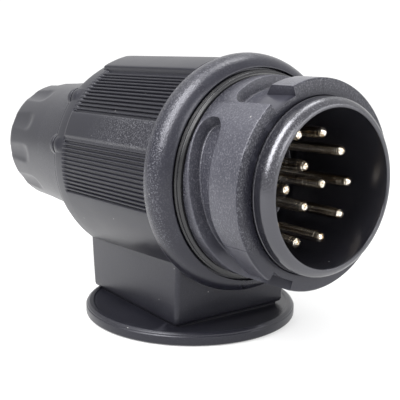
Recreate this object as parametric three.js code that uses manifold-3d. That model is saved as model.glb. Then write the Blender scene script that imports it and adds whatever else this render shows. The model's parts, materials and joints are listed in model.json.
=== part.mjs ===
// Thirteen-contact trailer wiring plug, built as an assembly of separate pieces.
// Millimetres. Origin: centre of the underside of the round foot. +Z up, +X the mating direction
// (the contact pins point to +X). The plug axis runs along X at height H.
import * as THREE from 'three';
import { mergeVertices } from 'three/addons/utils/BufferGeometryUtils.js';
import Module from 'manifold-3d';

const wasm = await Module();
wasm.setup();

// ---------- driving dimensions ----------
const H = 42.05;              // plug axis above the foot's underside
const N = 36;                 // facets of the main turned pieces
const FOOT_R = 29.9, FOOT_T = 3.41;
const COL = { x0: -24.3, x1: 19.1, y: 18.4, fx0: -25.0, fx1: 20.4, fy: 18.9, zTop: 30 };
const BARREL = { x0: -25.4, xBand: -20.3, x1: 21.3, r: 30.0, top: 30.95, flat: 29.95, xTop: -22.5, taper: 0.042, bore: 25.5 };
const RIB = { n: 12, depth: 0.75 };
const COLLAR = { xc: 23.64, tube: 5.69, r: 30.0, xRear: 21.6, xLip: 28.85, rLip: 26.6 };
const SLEEVE = { x0: 30.3, x1: 48.54, r0: 24.7, r1: 24.1, bore: 20.8, neck: 22.6, flange: 25.2, xFlange: 17.6 };
// bayonet grooves: angle where the channel starts, angle and half width of its straight entry
const GROOVE = { floor: 21.75, list: [[121.5, 122.0, 3.4], [241.5, 240.0, 3.4], [1.5, 2.0, 3.4]] };
const SEAL = { x0: 27.9, x1: 30.0, ri: 22.9, ro: 25.9 };
const SHROUD = { x0: 18.0, x1: 53.3, r: 20.15, ri: 17.7, flange: 21.4, ledge: 16.0 };
const PIN = { r: 1.4, barrel: 2.1, bore: 1.2, xShoulder: 11.4, ro: 12.9, phase: 2.0, dy: -0.3, dz: -0.55,
  tipOuter: 46.5, tipInner: 44.8, endOuter: -3.0, endInner: -12.0 };
const OUTER_ANGLES = [144, 108, 72, 36, 0, -36, -72, -108, -144];   // the tenth place, at 180, is empty
const INNER = [[90, 4.75], [0, 5.8], [-90, 4.75], [180, 5.9]];
const SCREW = { r: 1.25, hole: 1.6, head: 2.5, pcr: 23.3 };
const COVER_SCREW_ANGLES = [90, 210, 330];
const SHELL_SCREW_ANGLES = [30, 150, 270];
const INSERT_SCREW_ANGLES = [20, 200];
const SPIGOT = { r: 17.4, bore: 12.0, x1: -56.0 };
const COVER = { x0: -27.6, x1: -25.7, r: 29.3, xIn: -23.5, rIn: 25.1 };
const LUG_ANGLES = [170.8, 141.0, 9.2, 39.0];
const NUT = { x0: -28.3, xm: -81.0, x1: -86.0, r0: 22.6, rm: 21.4, bore: 18.0, entry: 8.2, scallops: 12 };

const rad = (d) => (d * Math.PI) / 180;

// ---------- solids ----------
function solid(geom) {
  const g = geom.index ? geom.toNonIndexed() : geom.clone();
  g.deleteAttribute('normal');
  g.deleteAttribute('uv');
  const m = mergeVertices(g, 1e-4);
  const src = m.index.array, p = m.attributes.position.array, tri = [];
  let vol = 0;
  for (let i = 0; i < src.length; i += 3) {
    const [a, b, c] = [src[i], src[i + 1], src[i + 2]];
    if (a === b || b === c || a === c) continue;
    tri.push(a, b, c);
    const [ax, ay, az, bx, by, bz, cx, cy, cz] = [a, b, c].flatMap((k) => [p[3 * k], p[3 * k + 1], p[3 * k + 2]]);
    vol += ax * (by * cz - bz * cy) + ay * (bz * cx - bx * cz) + az * (bx * cy - by * cx);
  }
  if (vol < 0) for (let i = 0; i < tri.length; i += 3) [tri[i + 1], tri[i + 2]] = [tri[i + 2], tri[i + 1]];
  return new wasm.Manifold(new wasm.Mesh({
    numProp: 3, vertProperties: new Float32Array(p), triVerts: new Uint32Array(tri),
  }));
}
const warp = (geom, fn) => {
  const a = geom.attributes.position, v = new THREE.Vector3();
  for (let i = 0; i < a.count; i++) { v.fromBufferAttribute(a, i); fn(v); a.setXYZ(i, v.x, v.y, v.z); }
  return geom;
};
// closed profile [[x, r], ...] turned about the plug axis
function turned(profile, n = N) {
  const pts = profile.map(([x, r]) => new THREE.Vector2(r, x));
  if (profile[0][1] > 0 || profile[profile.length - 1][1] > 0) pts.push(pts[0].clone());
  return solid(new THREE.LatheGeometry(pts, n).rotateZ(-Math.PI / 2).translate(0, 0, H));
}
// round bar along X, centred at (y, z) from the plug axis
function barX(x0, x1, r, y = 0, z = 0, n = 8) {
  return solid(new THREE.CylinderGeometry(r, r, x1 - x0, n).rotateZ(-Math.PI / 2).translate((x0 + x1) / 2, y, H + z));
}
// round bar pointing away from the plug axis at angle a, from radius r0 to r1, at station x
function barRadial(x, a, r0, r1, r, n = 8, cy = 0, cz = 0) {
  const g = new THREE.CylinderGeometry(r, r, r1 - r0, n).translate(0, (r0 + r1) / 2, 0);
  return solid(g.rotateX(rad(a)).translate(x, cy, H + cz));
}
// outline in the YZ plane extruded along X
function prismX(points, x0, x1) {
  const s = new THREE.Shape(points.map(([y, z]) => new THREE.Vector2(y, z)));
  const g = new THREE.ExtrudeGeometry(s, { depth: x1 - x0, bevelEnabled: false });
  g.applyMatrix4(new THREE.Matrix4().makeBasis(new THREE.Vector3(0, 1, 0), new THREE.Vector3(0, 0, 1), new THREE.Vector3(1, 0, 0)));
  return g.translate(x0, 0, H);
}
const polar = (list) => list.map(([a, r]) => [r * Math.cos(rad(a)), r * Math.sin(rad(a))]);

const assembly = new THREE.Group();
function node(name, m, color, roughness, metalness = 0) {
  const out = m.getMesh(), g = new THREE.BufferGeometry();
  g.setAttribute('position', new THREE.BufferAttribute(new Float32Array(out.vertProperties), 3));
  g.setIndex(new THREE.BufferAttribute(new Uint32Array(out.triVerts), 1));
  g.computeVertexNormals();
  const mesh = new THREE.Mesh(g, new THREE.MeshStandardMaterial({ color, roughness, metalness }));
  mesh.name = name;
  assembly.add(mesh);
}
const BLACK = 0x35363a, SHADE = 0x232427, RUBBER = 0x101113, NICKEL = 0xb9b2a2, STEEL = 0x9a9c9f, NYLON = 0x8f938f;
const pos = (a, r) => [r * Math.cos(rad(a)), r * Math.sin(rad(a))];

// ---------- grip housing: ribbed barrel, column and round foot in one moulding ----------
const topBand = (a) => Math.min(BARREL.top, BARREL.flat / Math.sin(rad(a)));   // flat on top, round shoulders
function barrelHalf(ribbed) {
  // angles from 90 (top) down the -Y side to 270 (bottom)
  const B = BARREL, o = [];
  for (let a = 90; a <= 120; a += 6) o.push([a, ribbed ? topBand(a) : Math.min(B.r, topBand(a))]);
  if (!ribbed) {
    for (let a = 127.5; a < 270; a += 7.5) o.push([a, B.r]);
  } else {
    const lo = B.r - RIB.depth;
    o.push([121, lo]);
    const ribs = (a0, a1) => {
      const p = (a1 - a0) / RIB.n;
      for (let i = 0; i < RIB.n; i++) {
        const a = a0 + i * p;
        o.push([a, lo], [a + 0.5 * p, B.r]);
      }
      o.push([a1, lo]);
    };
    ribs(123.3, 150.7);
    o.push([151.3, lo], [152.0, B.r + 0.2], [165.5, B.r + 0.2], [167.4, B.r - 0.1]);
    o.push([168.1, B.r - 0.2]);
    ribs(168.7, 195.2);
    o.push([196.4, B.r]);
    for (let a = 202.5; a < 270; a += 7.5) o.push([a, B.r]);
  }
  return o;
}
function barrelOutline(ribbed) {
  const left = barrelHalf(ribbed);
  const right = left.filter(([a]) => a > 90).map(([a, r]) => [180 - a, r]).reverse();
  return polar([...left, [270, BARREL.r], ...right]);
}
function screwBosses(angles, x0, x1) {
  return angles.map((a) => barX(x0, x1, 3.0, ...pos(a, SCREW.pcr), 12));
}
{
  const B = BARREL;
  const ribbed = solid(warp(prismX(barrelOutline(true), B.xBand, B.x1), (v) => {
    const s = 1 - B.taper * (v.x - B.xBand) / (B.x1 - B.xBand);
    v.y *= s; v.z = H + (v.z - H) * s;
  }));
  let body = solid(prismX(barrelOutline(false), B.x0, B.xBand + 0.2)).add(ribbed);
  const cap = [[120, 28]];
  for (let a = 120; a >= 60; a -= 6) cap.push([a, topBand(a)]);
  body = body.add(solid(prismX(polar([...cap, [60, 28]]), B.xTop, B.xBand + 0.2)));
  for (const a of LUG_ANGLES) body = body.add(barX(B.x0, B.x0 + 2.6, 3.4, ...pos(a, 27.35), 12));
  // column: a rounded rectangle that widens a little towards the barrel
  const c = COL, rr = 1.0, s = new THREE.Shape(), pts = [];
  for (const [sx, sy, a0] of [[1, 1, 0], [-1, 1, 90], [-1, -1, 180], [1, -1, 270]]) {
    for (const k of [0, 45, 90]) pts.push([sx, sy, rad(a0 + k)]);
  }
  pts.forEach(([sx, sy, t], i) => {
    const x = (sx > 0 ? c.x1 - rr : c.x0 + rr) + rr * Math.cos(t), y = sy * (c.y - rr) + rr * Math.sin(t);
    i ? s.lineTo(x, y) : s.moveTo(x, y);
  });
  const zBase = FOOT_T - 0.4;
  const column = solid(warp(new THREE.ExtrudeGeometry(s, { depth: c.zTop - zBase, bevelEnabled: false }).translate(0, 0, zBase), (v) => {
    const t = (v.z - zBase) / (18 - zBase), mid = (c.x0 + c.x1) / 2, wide = (c.fx1 - c.fx0) / (c.x1 - c.x0);
    v.x = mid + (v.x - mid) * (1 + (wide - 1) * t) + ((c.fx0 + c.fx1) / 2 - mid) * t;
    v.y *= 1 + (c.fy / c.y - 1) * t;
  }));
  const foot = solid(new THREE.LatheGeometry([[0, 0], [29.3, 0], [FOOT_R, 0.5], [FOOT_R, 2.55], [FOOT_R - 0.35, 2.7], [FOOT_R - 0.35, 3.1], [FOOT_R - 0.7, FOOT_T], [0, FOOT_T]]
    .map(([r, z]) => new THREE.Vector2(r, z)), 64).rotateX(Math.PI / 2));
  body = body.add(column).add(foot);
  body = body.subtract(turned([[B.x0 - 2, 0], [B.x0 - 2, B.bore], [B.x1 + 2, B.bore], [B.x1 + 2, 0]]));
  for (const b of screwBosses(COVER_SCREW_ANGLES, -23.1, -13)) body = body.add(b);
  for (const b of screwBosses(SHELL_SCREW_ANGLES, 4.5, 14.0)) body = body.add(b);
  for (const a of COVER_SCREW_ANGLES) body = body.subtract(barX(-24, -14.5, SCREW.hole, ...pos(a, SCREW.pcr)));
  for (const a of SHELL_SCREW_ANGLES) body = body.subtract(barX(4, 15, SCREW.hole, ...pos(a, SCREW.pcr)));
  node('grip_housing', body, BLACK, 0.62);
}

// ---------- rear cover with the gland's threaded spigot ----------
{
  const C = COVER;
  let m = turned([[SPIGOT.x1, SPIGOT.bore], [SPIGOT.x1, SPIGOT.r - 0.8], [SPIGOT.x1 + 0.8, SPIGOT.r], [C.x0, SPIGOT.r], [C.x0, C.r - 0.7],
    [C.x0 + 0.7, C.r], [C.x1, C.r], [C.x1, C.rIn], [C.xIn, C.rIn], [C.xIn, SPIGOT.bore]]);
  for (const a of LUG_ANGLES) m = m.add(barX(C.x0 + 0.1, C.x1, 3.4, ...pos(a, 27.35), 12));
  for (const a of COVER_SCREW_ANGLES) {
    m = m.subtract(barX(C.x0 - 1, C.xIn + 1, SCREW.hole, ...pos(a, SCREW.pcr)));
    m = m.subtract(barX(C.x0 - 1, C.x0 + 2.0, SCREW.head + 0.35, ...pos(a, SCREW.pcr), 10));
  }
  node('rear_cover', m, BLACK, 0.6);
}

// ---------- coupling shell: rounded collar and bayonet sleeve ----------
{
  const S = SLEEVE, K = COLLAR, rc = K.r - K.tube, arc = [];
  const a0 = Math.acos((K.xRear - K.xc) / K.tube), a1 = Math.asin((K.rLip - rc) / K.tube);
  for (let i = 0; i <= 5; i++) {
    const t = a0 + (a1 - a0) * i / 5;
    arc.push([K.xc + K.tube * Math.cos(t), rc + K.tube * Math.sin(t)]);
  }
  let m = turned([[S.xFlange, 21.8], [S.xFlange, S.flange], [K.xRear, S.flange], ...arc, [K.xLip, K.rLip - 0.25], [27.6, K.rLip - 0.25],
    [27.6, S.neck], [S.x0, S.neck], [S.x0, S.r0], [S.x1 - 0.3, S.r1], [S.x1, S.r1 - 0.3], [S.x1, S.bore], [21.1, S.bore], [21.1, 21.8]]);
  // helical bayonet channel: [degrees back from the entry, rear edge x, front edge x]
  const path = [[-9.3, 35.9, 38.4], [-7.4, 35.0, 40.5], [-4, 34.8, 41.6], [8, 34.7, 42], [24, 34.0, 41.8], [37, 33.5, 40.3], [49, 33.3, 39.4],
    [60, 32.7, 39.5], [74, 31.7, 39.2], [84, 31.1, 39.1], [91, 31.0, 38.8], [95, 31.8, 38.0], [97.5, 33.4, 36.6]];
  for (const [e, mouth, half] of GROOVE.list) {
    const g = new THREE.BoxGeometry(path.length - 1, 1, 1, path.length - 1, 1, 1);
    m = m.subtract(solid(warp(g, (v) => {
      const [d, xr, xf] = path[Math.round(v.x + (path.length - 1) / 2)];
      const a = rad(e - d), r = v.y < 0 ? GROOVE.floor : 28;
      v.set(v.z < 0 ? xr : xf, r * Math.cos(a), H + r * Math.sin(a));
    })));
    m = m.subtract(solid(new THREE.BoxGeometry(9, 2 * half, 6).translate(45.2, 0, GROOVE.floor + 3)
      .rotateX(rad(mouth - 90)).translate(0, 0, H)));
  }
  for (const a of SHELL_SCREW_ANGLES) m = m.subtract(barX(S.xFlange - 1, 25.5, SCREW.hole, ...pos(a, SCREW.pcr)));
  node('coupling_shell', m, BLACK, 0.6);
}
node('coupling_seal', turned([[SEAL.x0, SEAL.ri], [SEAL.x0, SEAL.ro - 0.5], [SEAL.x0 + 0.5, SEAL.ro], [SEAL.x1 - 0.5, SEAL.ro], [SEAL.x1, SEAL.ro - 0.5], [SEAL.x1, SEAL.ri]]), RUBBER, 0.2);
{
  let m = turned([[14.3, 19.2], [14.3, 25.1], [17.3, 25.1], [17.3, 19.2]], 24);
  for (const a of SHELL_SCREW_ANGLES) m = m.subtract(barX(13, 19, SCREW.hole, ...pos(a, SCREW.pcr)));
  node('insert_retainer', m, SHADE, 0.5);
}

// ---------- contact insert: shroud, O-ring, carrier, terminal block ----------
{
  const S = SHROUD;
  let m = turned([[S.x0, S.ledge], [S.x0, S.flange], [20.8, S.flange], [20.8, S.r], [28.4, S.r], [28.4, 18.9], [31.6, 18.9], [31.6, S.r],
    [S.x1 - 1.7, S.r], [S.x1 - 0.5, S.r - 0.5], [S.x1, S.r - 1.4], [S.x1, S.ri], [21.2, S.ri], [21.2, S.ledge]]);
  for (const a of INSERT_SCREW_ANGLES) m = m.subtract(barX(17, 20.4, 1.3, ...pos(a, 17.3), 6));
  node('insert_shroud', m, SHADE, 0.45);
}
node('insert_o_ring', turned([[28.8, 19.2], [28.8, 20.1], [29.5, 20.5], [30.5, 20.5], [31.2, 20.1], [31.2, 19.2]], 36), RUBBER, 0.35);

const pinPos = (p) => { const [y, z] = pos(p.a, p.r); return [y + PIN.dy, z + PIN.dz]; };
const pins = [
  ...OUTER_ANGLES.map((a) => ({ a: a + PIN.phase, r: PIN.ro, tip: PIN.tipOuter, end: PIN.endOuter, sx: 2.2, s0: 1.5, s1: 4.6 })),
  ...INNER.map(([a, r]) => ({ a: a + PIN.phase, r, tip: PIN.tipInner, end: PIN.endInner, sx: -7.0, s0: 1.5, s1: 4.0 })),
];
{
  let m = turned([[12.0, 0], [12.0, 19.0], [17.7, 19.0], [17.7, 15.7], [22.5, 15.7], [22.5, 0]], 24);
  for (const p of pins) m = m.subtract(barX(11, 24, PIN.r + 0.42, ...pinPos(p), 6));
  for (const a of INSERT_SCREW_ANGLES) m = m.subtract(barX(11, 19, 1.3, ...pos(a, 17.3), 6));
  node('contact_carrier', m, SHADE, 0.5);
}
{
  let m = turned([[-10, 0], [-10, 9.6], [-1, 9.6], [-1, 18.9], [11.7, 18.9], [11.7, 0]], 24);
  for (const p of pins) {
    const [y, z] = pinPos(p);
    m = m.subtract(barX(-12, 13, PIN.barrel + 0.45, y, z, 8));
    m = m.subtract(barRadial(p.sx, p.a, 0, 8, 1.3, 6, y, z));
  }
  for (const a of INSERT_SCREW_ANGLES) m = m.subtract(barX(-3, 13, 1.3, ...pos(a, 17.3), 6));
  node('terminal_block', m, NYLON, 0.55);
}
pins.forEach((p, i) => {
  const id = String(i + 1).padStart(2, '0'), [y, z] = pinPos(p), t = p.tip;
  let m = turned([[t, 0], [t - 0.25, 0.72], [t - 0.85, 1.2], [t - 1.7, PIN.r], [PIN.xShoulder, PIN.r], [PIN.xShoulder, PIN.barrel], [p.end, PIN.barrel],
    [p.end, PIN.bore], [p.end + 8, PIN.bore], [p.end + 8, 0]], 8).translate([0, y, z]);
  m = m.subtract(barRadial(p.sx, p.a, 0.2, 4, 1.05, 6, y, z));
  node(`contact_pin_${id}`, m, NICKEL, 0.22, 1);
  node(`terminal_screw_${id}`, barRadial(p.sx, p.a, p.s0, p.s1, 0.75, 6, y, z), STEEL, 0.35, 1);
});
INSERT_SCREW_ANGLES.forEach((a, i) => {
  const [y, z] = pos(a, 17.3);
  node(`insert_screw_${i + 1}`, turned([[-3.2, 0], [-3.2, 1.4], [-2.6, 1.7], [-1.3, 1.7], [-1.3, 0.9], [19.8, 0.9], [20.2, 0]], 8).translate([0, y, z]), STEEL, 0.35, 1);
});

// ---------- screws ----------
COVER_SCREW_ANGLES.forEach((a, i) => {
  const [y, z] = pos(a, SCREW.pcr);
  node(`cover_screw_${i + 1}`, turned([[-27.3, 0], [-27.3, 2.0], [-26.9, SCREW.head], [-25.9, SCREW.head], [-25.9, SCREW.r], [-15.4, SCREW.r], [-14.8, 0]], 10).translate([0, y, z]), STEEL, 0.35, 1);
});
SHELL_SCREW_ANGLES.forEach((a, i) => {
  const [y, z] = pos(a, SCREW.pcr);
  node(`shell_screw_${i + 1}`, turned([[2.3, 0], [2.3, 1.6], [2.8, 2.1], [4.2, 2.1], [4.2, SCREW.r], [24.6, SCREW.r], [25.2, 0]], 10).translate([0, y, z]), STEEL, 0.35, 1);
});

// ---------- cable gland ----------
{
  let m = turned([[-56.3, 9.9], [-56.3, 15.6], [-59.5, 15.6], [-70.0, 12.9], [-70.0, 9.9]], 24);
  for (let i = 0; i < 4; i++) {
    m = m.subtract(solid(new THREE.BoxGeometry(12, 1.4, 40).rotateX(rad(45 * i + 11.25)).translate(-66, 0, H)));
  }
  node('gland_claws', m, NYLON, 0.5);
}
node('gland_grommet', turned([[-57.0, 5.6], [-57.0, 9.5], [-69.4, 9.5], [-69.4, 5.6]], 24), RUBBER, 0.7);
node('thrust_washer', turned([[-73.6, 9.2], [-73.6, 16.4], [-72.0, 16.4], [-72.0, 9.2]], 24), NYLON, 0.4);
{
  const U = NUT, o = [];
  for (let i = 1; i <= 4; i++) {
    const t = (i / 4) * Math.PI / 2;
    o.push([U.xm + (U.x1 - U.xm) * Math.sin(t), 14 + (U.rm - 14) * Math.cos(t)]);
  }
  let m = turned([[U.x0, U.bore], [U.x0, U.r0 - 0.5], [U.x0 - 0.5, U.r0], [U.xm, U.rm], ...o, [U.x1, U.entry + 1.2], [U.x1 + 1.6, U.entry], [-74.0, U.entry],
    [-74.0, 16.9], [-61.0, U.bore]]);
  for (let i = 0; i < U.scallops; i++) {
    const a = 6.5 + 30 * i;
    const g = new THREE.CapsuleGeometry(10.5, 40, 3, 12).rotateZ(-Math.PI / 2).translate(-89.5, 0, 31.0);
    m = m.subtract(solid(g.rotateX(rad(a - 90)).translate(0, 0, H)));
  }
  node('gland_nut', m, BLACK, 0.6);
}

export default assembly;
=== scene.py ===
# Trailer wiring plug: detailed surfaces, materials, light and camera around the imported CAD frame.
# Lengths in the constants are millimetres; the meshes are written in metres.
import json
import math

import bpy
import bmesh
import numpy as np
from mathutils import Matrix, Vector

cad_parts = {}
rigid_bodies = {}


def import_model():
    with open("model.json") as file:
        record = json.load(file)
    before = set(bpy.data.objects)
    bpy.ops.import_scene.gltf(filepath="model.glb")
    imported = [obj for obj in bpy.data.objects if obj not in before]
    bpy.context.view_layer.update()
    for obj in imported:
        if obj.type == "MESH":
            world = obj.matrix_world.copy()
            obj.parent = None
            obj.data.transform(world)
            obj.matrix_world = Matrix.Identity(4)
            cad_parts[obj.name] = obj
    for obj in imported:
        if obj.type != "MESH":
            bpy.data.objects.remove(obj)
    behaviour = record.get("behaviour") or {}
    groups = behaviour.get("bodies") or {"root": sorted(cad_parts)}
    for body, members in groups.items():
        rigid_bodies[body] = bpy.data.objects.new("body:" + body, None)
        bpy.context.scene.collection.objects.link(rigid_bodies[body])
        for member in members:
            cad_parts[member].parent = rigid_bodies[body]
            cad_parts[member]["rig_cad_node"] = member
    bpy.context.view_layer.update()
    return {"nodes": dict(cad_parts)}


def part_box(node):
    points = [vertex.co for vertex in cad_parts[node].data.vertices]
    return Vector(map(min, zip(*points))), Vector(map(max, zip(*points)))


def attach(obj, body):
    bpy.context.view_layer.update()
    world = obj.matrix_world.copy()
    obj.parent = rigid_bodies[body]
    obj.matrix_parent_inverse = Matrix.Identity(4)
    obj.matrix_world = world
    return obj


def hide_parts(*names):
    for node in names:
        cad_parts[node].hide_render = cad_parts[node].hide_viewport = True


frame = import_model()
MM = 0.001


def mm_box(node):
    lo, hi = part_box(node)
    return np.array(lo) * 1000, np.array(hi) * 1000


# ---------- stations read from the CAD ----------
sh_lo, sh_hi = mm_box("insert_shroud")
H = float((sh_lo[2] + sh_hi[2]) / 2)                    # plug axis height
cs_lo, cs_hi = mm_box("coupling_shell")
gh_lo, gh_hi = mm_box("grip_housing")
rc_lo, rc_hi = mm_box("rear_cover")
nut_lo, nut_hi = mm_box("gland_nut")
seal_lo, seal_hi = mm_box("coupling_seal")

X_FRONT = float(cs_hi[0])        # 48.54, sleeve front face
X_REAR = float(rc_lo[0])         # end of the cover's spigot
K_R = float(cs_hi[1])            # collar radius 30


# ---------- mesh helpers ----------
def finish_mesh(name, verts, faces, sharp=30.0):
    me = bpy.data.meshes.new(name)
    me.from_pydata([tuple(v) for v in np.asarray(verts) * MM], [], [tuple(int(i) for i in f) for f in faces])
    me.validate()
    bm = bmesh.new()
    bm.from_mesh(me)
    bmesh.ops.remove_doubles(bm, verts=bm.verts, dist=1e-8)
    bmesh.ops.recalc_face_normals(bm, faces=bm.faces)
    if bm.calc_volume(signed=True) < 0:
        bmesh.ops.reverse_faces(bm, faces=bm.faces)
    bm.to_mesh(me)
    bm.free()
    me.shade_smooth()
    me.set_sharp_from_angle(angle=math.radians(sharp))
    ob = bpy.data.objects.new(name, me)
    bpy.context.scene.collection.objects.link(ob)
    return ob


def rounded(points, closed=True):
    """points: [(x, r, fillet radius, steps)] -> polyline with rounded corners, always the same number of points for the same steps."""
    out, n = [], len(points)
    for i, (x, r, rad, steps) in enumerate(points):
        p = np.array([x, r], float)
        if not steps or (not closed and i in (0, n - 1)):
            out.append(p)
            continue
        a = np.array(points[i - 1][:2], float) - p
        b = np.array(points[(i + 1) % n][:2], float) - p
        la, lb = max(np.linalg.norm(a), 1e-6), max(np.linalg.norm(b), 1e-6)
        a, b = a / la, b / lb
        cosang = float(np.clip(a @ b, -1, 1))
        half = math.acos(cosang) / 2
        d = min(rad / max(math.tan(half), 1e-3), 0.49 * la, 0.49 * lb)
        p0, p1 = p + a * d, p + b * d
        for k in range(steps + 1):
            t = k / steps
            out.append((1 - t) ** 2 * p0 + 2 * t * (1 - t) * p + t * t * p1)
    return np.array(out)


def ring(name, angles, profiles, cy=0.0, cz=None, sharp=30.0):
    """One closed profile per angle (degrees from +Y, 90 up), joined all the way round."""
    cz = H if cz is None else cz
    A = np.radians(np.asarray(angles, float))[:, None]
    P = np.asarray(profiles, float)
    if P.ndim == 2:
        P = np.repeat(P[None], len(angles), 0)
    X, R = P[..., 0], P[..., 1]
    V = np.stack([X, cy + R * np.cos(A), cz + R * np.sin(A)], -1)
    nA, nP = X.shape
    i, j = np.meshgrid(np.arange(nA), np.arange(nP), indexing="ij")
    i2, j2 = (i + 1) % nA, (j + 1) % nP
    F = np.stack([i * nP + j, i * nP + j2, i2 * nP + j2, i2 * nP + j], -1).reshape(-1, 4)
    return finish_mesh(name, V.reshape(-1, 3), F, sharp)


def turned(name, profile, n, cy=0.0, cz=None, sharp=30.0, twist=0.0):
    """Profile from the axis to the axis, turned about X."""
    cz = H if cz is None else cz
    P = np.asarray(profile, float)
    inner = P[1:-1]
    A = np.radians(twist + np.arange(n) * 360.0 / n)
    V = [[P[0, 0], cy, cz]]
    for a in A:
        for x, r in inner:
            V.append([x, cy + r * math.cos(a), cz + r * math.sin(a)])
    V.append([P[-1, 0], cy, cz])
    m, last, F = len(inner), len(V) - 1, []
    for k in range(n):
        a0, a1 = 1 + k * m, 1 + ((k + 1) % n) * m
        F.append([0, a0, a1])
        for j in range(m - 1):
            F.append([a0 + j, a0 + j + 1, a1 + j + 1, a1 + j])
        F.append([a0 + m - 1, last, a1 + m - 1])
    return finish_mesh(name, V, F, sharp)


def boolean(ob, other, op):
    mod = ob.modifiers.new("b", "BOOLEAN")
    mod.operation, mod.solver, mod.object = op, "EXACT", other
    dg = bpy.context.evaluated_depsgraph_get()
    me = bpy.data.meshes.new_from_object(ob.evaluated_get(dg))
    ob.modifiers.clear()
    ob.data = me
    bpy.data.objects.remove(other)
    return ob


def reshade(ob, sharp):
    ob.data.shade_smooth()
    ob.data.set_sharp_from_angle(angle=math.radians(sharp))


def attribute(ob, name, fn):
    """Float attribute on the points; fn takes the coordinates in millimetres."""
    me = ob.data
    co = np.zeros(len(me.vertices) * 3, np.float32)
    me.vertices.foreach_get("co", co)
    v = np.asarray(fn(co.reshape(-1, 3) * 1000), np.float32)
    at = me.attributes.get(name) or me.attributes.new(name, "FLOAT", "POINT")
    at.data.foreach_set("value", v)


def smoothstep(t):
    t = np.clip(t, 0, 1)
    return t * t * (3 - 2 * t)


def polar_of(co):
    return np.degrees(np.arctan2(co[:, 2] - H, co[:, 1])) % 360, np.hypot(co[:, 1], co[:, 2] - H)


# ---------- lobes shared by the rear cover and the housing's rear edge ----------
LUGS = [170.8, 141.0, 9.2, 39.0]
C_X0, C_X1, C_R = -27.6, -25.7, 29.3


def cover_radius(a, grow=0.0):
    r = C_R - grow
    for l in LUGS:
        d = math.radians((a - l + 180) % 360 - 180)
        s = (3.4 - grow) ** 2 - (27.35 * math.sin(d)) ** 2
        if abs(d) < 0.4 and s > 0:
            r = max(r, 27.35 * math.cos(d) + math.sqrt(s))
    return r


# ---------- grip housing ----------
B_X0, B_BAND, B_X1, B_R, B_TOP, B_TAPER = -25.4, -20.3, 21.3, 30.0, 30.95, 0.042
B_FLAT = 29.95                  # height of the flat on top above the axis
BORE = 25.5
RIBS, RIB_DEPTH = 12, 0.72


def rib_height(u):
    """0 at a valley's bottom, 1 on a rib's crest; u in 0..1 over one pitch, crest in the middle."""
    t = np.abs(u - 0.5) / 0.5
    return np.where(t < 0.26, 1 - 0.10 * (t / 0.26) ** 2, 0.90 * (1 - smoothstep((t - 0.26) / 0.42)))


def housing_columns():
    """(angle, full height offset above valley level or None for plain) for the -Y half, from 90 to 270."""
    cols = []
    lo = B_R - RIB_DEPTH
    for a in np.linspace(90, 119.2, 22):    # a flat on top, then round shoulders
        cols.append((a, min(B_TOP, B_FLAT / math.sin(math.radians(a))), 0))
    cols += [(119.7, B_TOP - 0.06, 0), (120.05, B_TOP - 0.25, 0), (120.35, B_TOP - 0.65, 0), (120.65, lo + 0.3, 0), (120.95, lo + 0.04, 0), (121.3, lo, 0), (122.2, lo, 0)]

    def ribs(a0, a1):
        p = (a1 - a0) / RIBS
        for i in range(RIBS):
            for u in (0.0, 0.1, 0.18, 0.25, 0.31, 0.36, 0.42, 0.5, 0.58, 0.64, 0.69, 0.75, 0.82, 0.9):
                cols.append((a0 + (i + u) * p, lo + RIB_DEPTH * float(rib_height(np.array(u))), 1))
        cols.append((a1, lo, 1))
    ribs(123.3, 150.7)
    cols += [(151.15, lo, 0), (151.45, lo + 0.3, 0), (151.75, B_R - 0.05, 0), (152.1, B_R + 0.12, 0), (152.6, B_R + 0.17, 0)]
    for a in np.linspace(153.2, 164.6, 12):
        cols.append((a, B_R + 0.2, 0))
    cols += [(165.2, B_R + 0.17, 0), (165.7, B_R + 0.02, 0), (166.3, B_R - 0.16, 0), (167.2, B_R - 0.22, 0), (167.9, B_R - 0.3, 0), (168.25, lo + 0.05, 0)]
    ribs(168.7, 195.2)
    cols += [(195.5, lo + 0.1, 0), (195.8, lo + 0.45, 0), (196.2, B_R - 0.05, 0), (196.8, B_R, 0)]
    for a in np.linspace(198.5, 268, 42):
        cols.append((a, B_R, 0))
    return cols


half = housing_columns()
lobed = [(round(l + d, 2), B_R, None) for l in (170.8, 141.0) for d in np.arange(-4.2, 4.21, 0.42)]
half = sorted(half + [(a, None, None) for a, _, _ in lobed if min(abs(a - h[0]) for h in half) > 0.12], key=lambda c: c[0])
known = [c for c in half if c[1] is not None]
ka = [c[0] for c in known]
half = [c if c[1] is not None else (c[0], float(np.interp(c[0], ka, [k[1] for k in known])), known[int(np.searchsorted(ka, c[0])) - 1][2]) for c in half]
cols = half + [(270.0, B_R, 0)] + [((180 - a) % 360 if a <= 180 else 540 - a, r, k) for a, r, k in reversed(half) if a > 90]
angles = [c[0] for c in cols]
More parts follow.
